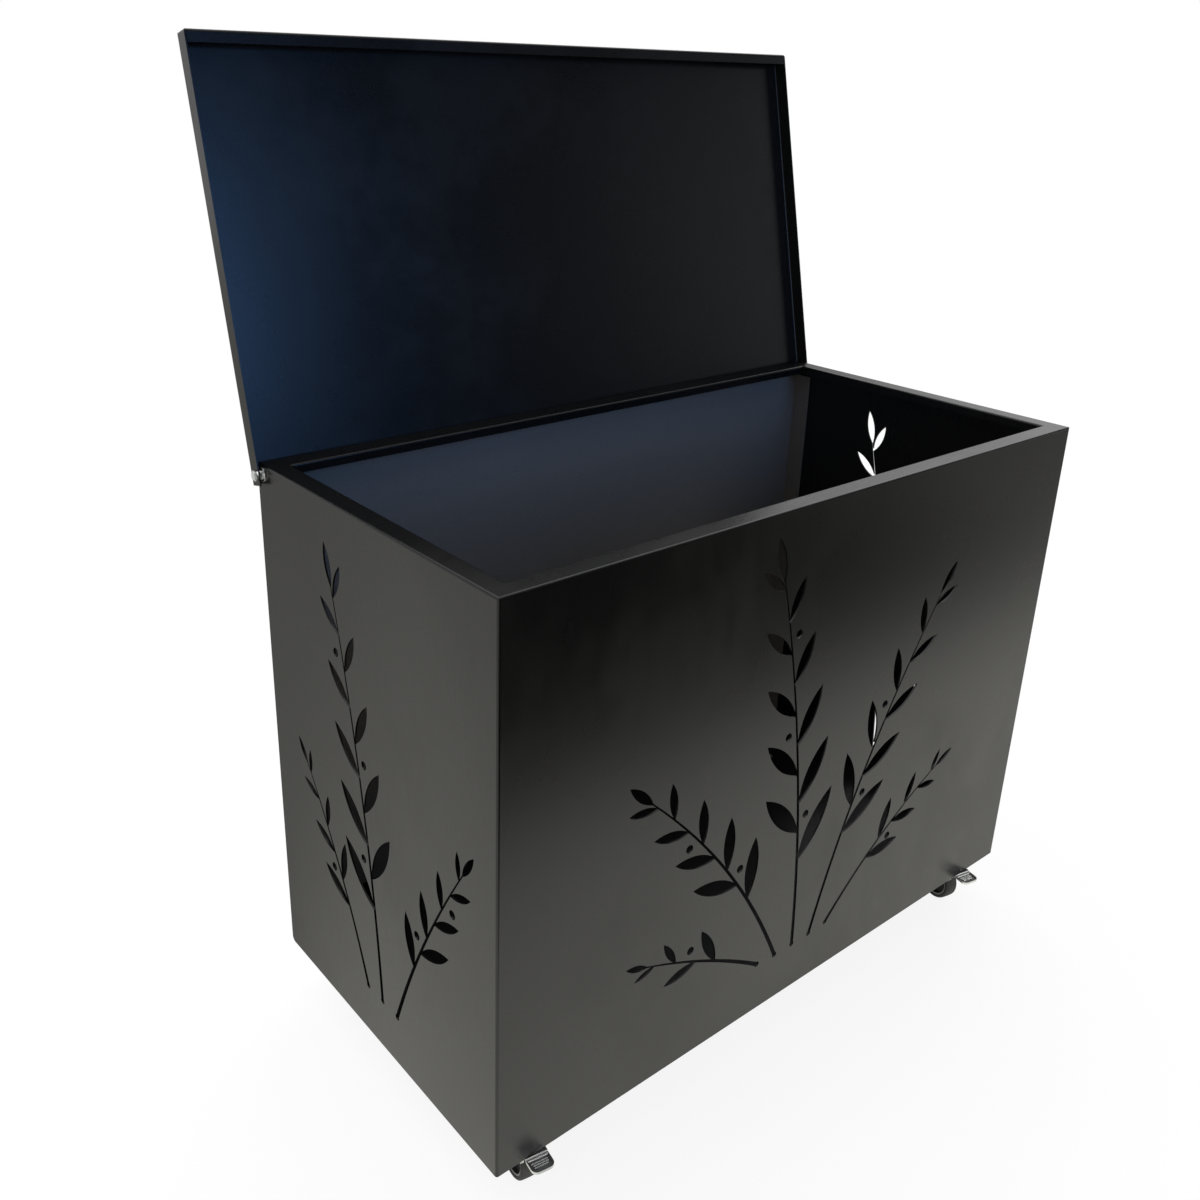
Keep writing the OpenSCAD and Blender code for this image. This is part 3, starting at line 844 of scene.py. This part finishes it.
@dataclass(frozen=True)
class PaperFloor:
    """A flat floor: white to the lens with a soft shadow, and paper sheets to whatever reflects it, in which a
    painted shadow behind the box's left side and another under the box are set.

    Its places are metres along X or Y, and its levels are shares of white.

    Attributes:
        half: Half of its width.
        colour: Its grey, as a surface.
        glow: What is added to the surface, to the lens.
        shadow: How white it is to the lens at each distance from the middle.
        tint: The sheets' colour.
        near: Along Y, from the far front to the sheet before the box.
        sides: Along Y, from the sheet before the box to those at its sides.
        front_right: Along X, the far front's level to the right.
        front_left: Along X, the far front's level to the left.
        across: Direction in which the edge of the painted shadow behind the box's left side is crossed.
        shade: The sheets' level on both sides of that painted shadow's edge.
        shade_end: Along X, the level that the right side gets back to.
        footprint: Half of the box's length and of its depth, and the middle of its depth.
        under: From inside the footprint outwards, how much of the level is left: a painted shadow under the box.
    """

    half: float = 6.0
    colour: float = 0.8
    glow: float = 0.6
    shadow: Ramp = ((0.55, 0.72), (1.1, 1.0))
    tint: Triple = (1.0, 0.99, 0.92)
    near: Ramp = ((-0.85, 0.0), (-0.65, 1.0))
    sides: Ramp = ((-0.35, 0.0), (-0.1, 1.0))
    front_right: Ramp = ((0.9, 0.0), (2.2, 0.285))
    front_left: Ramp = ((-1.3, 0.6), (-0.6, 0.0))
    across: Triple = (0.848, 0.53, 0.0)
    shade: Ramp = ((-0.387, 0.86), (-0.187, 0.39))
    shade_end: Ramp = ((-0.2, 0.0), (0.4, 0.75))
    footprint: Triple = (0.4, 0.2, -0.0366)
    under: Ramp = ((-0.06, 0.15), (0.01, 1.0))

    def sheets(self, sketch: Sketch, place: Socket) -> Socket:
        """Works out how bright the sheets are at a place on the floor, painted shadows included.

        Args:
            sketch: The floor material's sketch.
            place: The place, as Object coordinates.

        Returns:
            The level's socket.
        """
        along = sketch.node("SeparateXYZ", {0: place}).outputs
        far_front = sketch.maths("MAXIMUM", sketch.between(along["X"], *self.front_right),
                                 sketch.between(along["X"], *self.front_left))
        # Painted shadow of the box on the floor behind its left side, seen only in reflections
        crossed = sketch.node("VectorMath", {0: place, 1: self.across}, operation="DOT_PRODUCT")
        beside = sketch.maths("MAXIMUM", sketch.between(crossed.outputs["Value"], *self.shade),
                              sketch.between(along["X"], *self.shade_end))
        near = sketch.blended(sketch.between(along["Y"], *self.sides), 1.0, beside)
        level = sketch.blended(sketch.between(along["Y"], *self.near), far_front, near)
        # Painted shadow under the box, seen only in reflections
        half_x, half_y, middle = self.footprint
        off_middle = sketch.maths("ABSOLUTE", sketch.maths("SUBTRACT", along["Y"], middle))
        outside = sketch.maths(
            "MAXIMUM", sketch.maths("SUBTRACT", sketch.maths("ABSOLUTE", along["X"]), half_x),
            sketch.maths("SUBTRACT", off_middle, half_y))
        return sketch.maths("MULTIPLY", level, sketch.between(outside, *self.under))

    def material(self) -> Material:
        """Builds the floor's material.

        Returns:
            The material.
        """
        made = bpy.data.materials.new("studio_floor")
        made.use_nodes = True
        made.node_tree.nodes.clear()
        sketch = Sketch(made.node_tree)
        ray = sketch.node("LightPath").outputs
        place = sketch.node("TexCoord").outputs["Object"]
        far = sketch.node("VectorMath", {0: place}, operation="LENGTH").outputs["Value"]
        paper = sketch.node("BsdfDiffuse", {"Color": (*[self.colour] * 3, 1)})
        white = sketch.node("Emission", {"Color": (1, 1, 1, 1), "Strength": 1.0})
        glow = sketch.node("Emission", {"Color": (1, 1, 1, 1), "Strength": self.glow})
        lifted = sketch.node("AddShader", {0: paper.outputs[0], 1: glow.outputs[0]})
        clear = sketch.between(far, *self.shadow)
        to_lens = sketch.node("MixShader", {0: clear, 1: lifted.outputs[0], 2: white.outputs[0]})
        sheet = sketch.node("Emission", {"Color": (*self.tint, 1), "Strength": self.sheets(sketch, place)})
        gloss = sketch.maths("MAXIMUM", ray["Is Glossy Ray"], ray["Is Transmission Ray"])
        unseen = sketch.node("MixShader", {0: gloss, 1: paper.outputs[0], 2: sheet.outputs[0]})
        views = {0: ray["Is Camera Ray"], 1: unseen.outputs[0], 2: to_lens.outputs[0]}
        sketch.node("OutputMaterial", {"Surface": sketch.node("MixShader", views).outputs[0]})
        return made

    def build(self) -> None:
        """Lays the floor."""
        Bench.clear()
        bpy.ops.mesh.primitive_plane_add(size=2 * self.half)
        plane = bpy.context.object
        plane.name = "studio_floor"
        plane.data.materials.append(self.material())


@dataclass(frozen=True)
class Room:
    """White to the lens, and a room with pale walls and a bright ceiling to whatever reflects it.

    Its ramps run over a direction's X, Y or Z, where a whole direction is 1 long.

    Attributes:
        low: The rear wall's level near the floor, over X.
        end: Its second bright place near the floor, over X.
        mid: The rear wall's level higher up, over X.
        side: The right wall's level in the front half, over X.
        side_rise: How much of that is left at each height, over Z.
        left: The left wall's level in the front half, over X.
        to_rear: From the front half to the rear one, over Y.
        above_low: From the lowest part of the walls to the next one, over Z.
        above_mid: From the walls to the ceiling, over Z.
        ceiling: The ceiling's level in the front half and in the rear one.
    """

    low: Ramp = ((0.36, 0.78), (0.48, 0.0))
    end: Ramp = ((0.72, 0.0), (0.9, 0.9))
    mid: Ramp = ((0.44, 0.28), (0.56, 1.6))
    side: Ramp = ((0.6, 0.0), (0.84, 0.6))
    side_rise: Ramp = ((0.0, 0.6), (0.25, 1.0))
    left: Ramp = ((-0.3, 0.45), (0.05, 0.0))
    to_rear: Ramp = ((-0.06, 0.0), (0.06, 1.0))
    above_low: Ramp = ((0.24, 0.0), (0.36, 1.0))
    above_mid: Ramp = ((0.54, 0.0), (0.66, 1.0))
    ceiling: Pair = (0.3, 1.2)

    def build(self) -> None:
        """Makes the room the scene's world."""
        world = bpy.data.worlds.new("studio")
        bpy.context.scene.world = world
        world.use_nodes = True
        world.node_tree.nodes.clear()
        sketch = Sketch(world.node_tree)
        ray = sketch.node("LightPath").outputs
        way = sketch.node("SeparateXYZ", {0: sketch.node("TexCoord").outputs["Generated"]}).outputs
        low, end, mid, side, left = (
            sketch.between(way["X"], *ramp)
            for ramp in (self.low, self.end, self.mid, self.side, self.left))
        rise, above_low, above_mid = (
            sketch.between(way["Z"], *ramp)
            for ramp in (self.side_rise, self.above_low, self.above_mid))
        rear_walls = sketch.blended(above_low, sketch.maths("MAXIMUM", low, end), mid)
        side_walls = sketch.maths("MAXIMUM", sketch.maths("MULTIPLY", side, rise), left)
        front = sketch.blended(above_mid, sketch.blended(above_low, side_walls, 0.0), self.ceiling[0])
        rear = sketch.blended(above_mid, rear_walls, self.ceiling[1])
        level = sketch.blended(sketch.between(way["Y"], *self.to_rear), front, rear)
        seen = sketch.maths("MAXIMUM", ray["Is Camera Ray"], ray["Is Transmission Ray"])
        strength = sketch.maths("MAXIMUM", level, seen)
        back = sketch.node("Background", {"Color": (1, 1, 1, 1), "Strength": strength})
        sketch.node("OutputWorld", {"Surface": back.outputs[0]})


@dataclass(frozen=True)
class Studio:
    """Pale floor, white surroundings and soft lamps."""

    floor: PaperFloor = PaperFloor()
    room: Room = Room()
    lamps: tuple[SoftBox, ...] = (
        SoftBox("window", (0.12, -2.15, 1.4), (-0.3, 0.2, 0.9), (0.9, 0.9), 11.5, (0.2, 0.45, 1.0),
                ("lid", "rear_panel")),
        SoftBox("top_glint", (1.1, -0.6, 1.8), (0.0, -0.25, 0.1), (2.4, 0.9), 14.0, (1.0, 1.0, 0.98),
                METALWORK + ("hub",)),
        SoftBox("side_glint", (-2.0, -1.2, 1.1), (-0.4, 0.0, 0.4), (0.8, 0.8), 8.0, (1.0, 1.0, 0.97),
                METALWORK + ("hub", "tyre")),
        SoftBox("hinge_glint", (-1.7, 1.6, 0.3), (-0.4, 0.15, 0.62), (1.0, 0.6), 2.0, (1.0, 1.0, 0.97),
                ("washer", "lock_nut", "hinge")),
    )

    def build(self, fitted: list[Piece]) -> None:
        """Builds floor, surroundings and lamps.

        Args:
            fitted: The finished pieces.
        """
        bpy.context.scene.view_settings.view_transform = "Standard"
        self.floor.build()
        self.room.build()
        for lamp in self.lamps:
            lamp.build(fitted)


# Sub-assemblies

@dataclass
class SheetWork:
    """The box's four sheets.

    Attributes:
        edge: The rounding that powder coat leaves on every edge.
        sheet: Thickness of the walls.
        lip: Depth of the rim's turned-down lip.
    """

    edge: float = 0.35 * MM
    sheet: float = 2 * MM
    lip: float = 10 * MM

    def build(self, shop: Shop) -> None:
        """Makes a finer copy of each sheet.

        Args:
            shop: Where the finishes come from.
        """
        bodies = {"body_shell": "box", "rear_panel": "box", "floor_plate": "box", "lid": "lid"}
        for node, body in bodies.items():
            piece = Bench.deburred(node, self.edge)
            shop.fit(piece, body, Slot.POWDER, shop.powder, node)
            # The rear panel's inner side takes painted light, as a paler coat
            if node == "rear_panel":
                self.paint_light_inside(piece, shop)

    def paint_light_inside(self, panel: Piece, shop: Shop) -> None:
        """Gives the rear panel's inner wall and flanges a paler coat: painted light, standing for the light that
        falls into the box onto that wall.

        Args:
            panel: The rear panel.
            shop: Where the coat comes from.
        """
        _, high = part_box("rear_panel")
        outer, under_lip = high.y - self.sheet + MERGE, high.z - self.lip
        inner = Bench.faces(panel, lambda centre, _: centre.y < outer and centre.z < under_lip)
        shop.second_coat(panel, shop.rear_wall_light, inner)


@dataclass
class Hinge:
    """The lid's two pivots, drawn outwards along X from the wall's face.

    Attributes:
        washer: Inner radius, outer radius and thickness of the large washer.
        washer_edge: Rounding of its edges.
        nut_r: Radius of the lock nut, to its corners.
        nut_start: Where the nut starts.
        hex_h: Height of its hexagon.
        collar: Inner radius, outer radius and height of its round collar.
        collar_edge: Rounding of the collar.
        nut_edge: Rounding of the nut's sharp edges.
        bolt_edge: Rounding of bolts and bushes.
        drill: How far the nut's drill reaches.
        steps: Faces round a washer or a collar.
    """

    washer: Triple = (3 * MM, 7.5 * MM, 1.6 * MM)
    washer_edge: float = 0.35 * MM
    nut_r: float = 5.77 * MM
    nut_start: float = 6.2 * MM
    hex_h: float = 3.2 * MM
    collar: Triple = (3 * MM, 4.4 * MM, 0.8 * MM)
    collar_edge: float = 0.3 * MM
    nut_edge: float = 0.12 * MM
    bolt_edge: float = 0.3 * MM
    drill: float = 20 * MM
    steps: int = 64

    def places(self) -> dict[str, Matrix]:
        """Reads the axis and the walls' faces from the frame.

        Returns:
            From a piece drawn at the origin to each side's wall, by side.
        """
        joint = joint_named("lid_hinge")
        _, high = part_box("body_shell")
        _, y, z = joint["pos_m"]
        mirrored = Matrix.Translation((-high.x, y, z)) @ Matrix.Rotation(math.pi, 4, "Z")
        return {"right": Matrix.Translation((high.x, y, z)), "left": mirrored}

    def ring(self, name: str, start: float, size: Triple, edge: float) -> Piece:
        """Turns a flat ring with soft edges.

        Args:
            name: The ring's name.
            start: Where it starts on X.
            size: Inner radius, outer radius and thickness.
            edge: Size of its edges' rounding.

        Returns:
            The ring.
        """
        inner, outer, thick = size
        corners = [(start, inner), (start, outer), (start + thick, outer), (start + thick, inner)]
        return Bench.turned(name, rounded(corners, edge), self.steps)

    def nut(self) -> Piece:
        """Makes a hexagon with turned-off corners, a round collar and a bore.

        Returns:
            The lock nut.
        """
        hexagon = Bench.hexagon("nut_hexagon", self.nut_r, self.nut_start, self.hex_h)
        Bench.bored(hexagon, self.collar[0], self.drill)
        collar = self.ring("nut_collar", self.nut_start + self.hex_h, self.collar, self.collar_edge)
        made = Bench.joined("nut_pattern", hexagon, collar)
        Bench.apply(made, "BEVEL", width=self.nut_edge, segments=Bench.EDGE_FACES,
                    limit_method="ANGLE", angle_limit=Bench.SOFT)
        return made

    def build(self, shop: Shop) -> None:
        """Makes washer and nut once, sets them on both sides and rounds bolts and bushes.

        Args:
            shop: Where the finishes come from.
        """
        washer = self.ring("washer_pattern", 0.0, self.washer, self.washer_edge)
        nut = self.nut()
        patterns = ((washer, "washer_", "hinge_washers"), (nut, "lock_nut_", "hinge_nuts"))
        for side, matrix in self.places().items():
            for pattern, title, node in patterns:
                piece = Bench.copy(pattern, title + side)
                Bench.place(piece, matrix)
                Bench.smooth(piece, Bench.ROUND)
                shop.fit(piece, "box", Slot.ZINC, shop.zinc, node)
        Bench.discard(washer, nut)
        for node in ("hinge_bolts", "hinge_bushes"):
            shop.fit(Bench.deburred(node, self.bolt_edge), "box", Slot.ZINC, shop.zinc, node)


@dataclass(frozen=True)
class WheelPart:
    """A turned piece of the wheel that each castor copies.

    Attributes:
        pattern: The piece, drawn about X at the origin.
        title: How its copies' names start.
        node: How the names of the CAD nodes that it stands for start.
        slot: The record's slot for its finish.
        coat: Its material.
        trim: Its second material.
        trimmed: Numbers of the faces that take the second one.
    """

    pattern: Piece
    title: str
    node: str
    slot: Slot
    coat: Material
    trim: Material
    trimmed: list[int]


@dataclass
class Wheel:
    """The castors' wheel: a grey tyre with black sides on a plastic core with a pale ring, partly its own colour
    and partly a painted highlight on the rim's edge.

    Attributes:
        radius: Radius of the tread.
        seat: Radius at which the tyre sits on the core.
        half: Half of the tyre's width.
        chamfer: Chamfer of the tyre's inner edges.
        shoulder: Radius of its shoulders.
        shoulder_steps: Faces round each shoulder.
        crown: How much the tread falls to its shoulders.
        seam: Half width of the mould seam's top and of its foot, and its height.
        boss: The boss's bore, radius and half length.
        rim: Inner radius and half width of the core's rim.
        web: Half thickness of its web.
        fillet: How far the web's ends are drawn in.
        fit: Gap between core and tyre.
        edge: Rounding of the core's edges.
        steps: Faces round the axis.
        side_tilt: How far along X a tyre face's normal leans before it counts as a side.
        ring: How far inwards the pale ring reaches from the rim's side and from its inner edge.
    """

    radius: float = 25 * MM
    seat: float = 20.5 * MM
    half: float = 9 * MM
    chamfer: float = 0.4 * MM
    shoulder: float = 2.8 * MM
    shoulder_steps: int = 6
    crown: float = 0.25 * MM
    seam: Triple = (0.12 * MM, 0.25 * MM, 0.05 * MM)
    boss: Triple = (3.06 * MM, 6 * MM, 10.4 * MM)
    rim: Pair = (18.5 * MM, 7.9 * MM)
    web: float = 3 * MM
    fillet: float = 0.8 * MM
    fit: float = 0.05 * MM
    edge: float = 0.35 * MM
    steps: int = 96
    side_tilt: float = 0.6
    ring: Pair = (0.3 * MM, 0.2 * MM)

    def tyre_section(self) -> list[Pair]:
        """Draws a crowned tread with a mould seam, round shoulders and flat sides.

        Returns:
            The closed section.
        """
        seam_top, seam_foot, seam_height = self.seam
        centre_x, centre_r = self.half - self.shoulder, self.radius - self.crown - self.shoulder
        right = [(self.half - self.chamfer, self.seat), (self.half, self.seat + self.chamfer)]
        for i in range(self.shoulder_steps + 1):
            angle = math.pi / 2 * i / self.shoulder_steps
            right.append((centre_x + self.shoulder * math.cos(angle),
                          centre_r + self.shoulder * math.sin(angle)))
        # At a third of its half width the tread has fallen by a quarter of its crown
        right += [(self.half / 3, self.radius - self.crown / 4),
                  (seam_foot, self.radius - seam_height), (seam_top, self.radius)]
        return right + [(-x, r) for x, r in reversed(right)]

    def core_section(self) -> list[Pair]:
        """Draws a bored boss, a thin web and a rim that carries the tyre.

        Returns:
            The closed section.
        """
        bore, boss_r, boss_half = self.boss
        rim_in, rim_half = self.rim
        right = [(boss_half, bore), (boss_half, boss_r), (self.web, boss_r + self.fillet),
                 (self.web, rim_in - self.fillet), (rim_half, rim_in), (rim_half, self.seat - self.fit)]
        return rounded(right + [(-x, r) for x, r in reversed(right)], self.edge)

    def parts(self, shop: Shop) -> tuple[WheelPart, WheelPart]:
        """Turns tyre and core.

        Args:
            shop: Where the finishes come from.

        Returns:
            The tyre and the core.
        """
        tyre = Bench.turned("tyre_pattern", self.tyre_section(), self.steps)
        core = Bench.turned("core_pattern", self.core_section(), self.steps)
        rim_in, rim_half = self.rim
        ring_start, ring_in = rim_half - self.ring[0], rim_in - self.ring[1]
        sides = Bench.faces(tyre, lambda _, normal: abs(normal.x) > self.side_tilt)
        ring = Bench.faces(core, lambda centre, _: abs(centre.x) > ring_start
                           and math.hypot(centre.y, centre.z) > ring_in)
        return (WheelPart(tyre, "tyre_tread_", "tyre_", Slot.RUBBER, shop.rubber, shop.side, sides),
                WheelPart(core, "hub_core_", "wheel_hub_", Slot.HUB, shop.hub, shop.ring, ring))


@dataclass
class Castor:
    """One swivel castor, whose wheel is placed by the joint that it rolls on.

    Attributes:
        corner: Which of the four it is.
        edge: Rounding of its pressed steel.
    """

    corner: Corner
    edge: float = 0.25 * MM

    def at_wheel(self) -> Matrix:
        """Reads the wheel's place and axis from the frame.

        Returns:
            From a piece drawn about X at the origin to the wheel.
        """
        joint = joint_named("roll_" + self.corner.value)
        axis = Vector(joint["axis"])
        return Matrix.Translation(joint["pos_m"]) @ Matrix.Rotation(math.atan2(axis.y, axis.x), 4, "Z")

    def build(self, shop: Shop, wheel: tuple[WheelPart, ...]) -> None:
        """Copies the wheel into place and rounds the metal pieces' edges.

        Args:
            shop: Where the finishes come from.
            wheel: The wheel's turned pieces.
        """
        name = self.corner.value
        for part in wheel:
            piece = Bench.copy(part.pattern, part.title + name)
            Bench.place(piece, self.at_wheel())
            Bench.smooth(piece, Bench.ROUND)
            shop.fit(piece, "wheel_" + name, part.slot, part.coat, part.node + name)
            shop.second_coat(piece, part.trim, part.trimmed)
        fork, pedal = "fork_" + name, "pedal_" + name
        metal = {"castor_fork_": fork, "axle_bolt_": fork, "axle_nut_": fork, "castor_plate_": "box"}
        if self.corner.braked:
            metal |= {"brake_pedal_": pedal, "pedal_rivet_": fork}
        for start, body in metal.items():
            shop.fit(Bench.deburred(start + name, self.edge), body, Slot.ZINC, shop.zinc, start + name)


class LogBox:
    """The whole object, built in order."""

    def __init__(self) -> None:
        """Opens the shop and lists the sub-assemblies."""
        self.shop = Shop.opened()
        self.sheets = SheetWork()
        self.hinge = Hinge()
        self.wheel = Wheel()
        self.castors = [Castor(corner) for corner in Corner]

    def build(self) -> None:
        """Dresses the frame and builds every finer piece."""
        self.shop.dress_frame()
        self.sheets.build(self.shop)
        self.hinge.build(self.shop)
        wheel = self.wheel.parts(self.shop)
        for castor in self.castors:
            castor.build(self.shop, wheel)
        Bench.discard(*(part.pattern for part in wheel))


def main() -> None:
    """Builds camera, object and studio, and keeps the sizes."""
    logging.basicConfig(level=logging.INFO, format="%(name)s: %(message)s")
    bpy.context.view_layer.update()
    Viewpoint().build()
    box = LogBox()
    box.build()
    Studio().build(box.shop.fitted)
    Bench.clear()


if __name__ == "__main__":
    main()
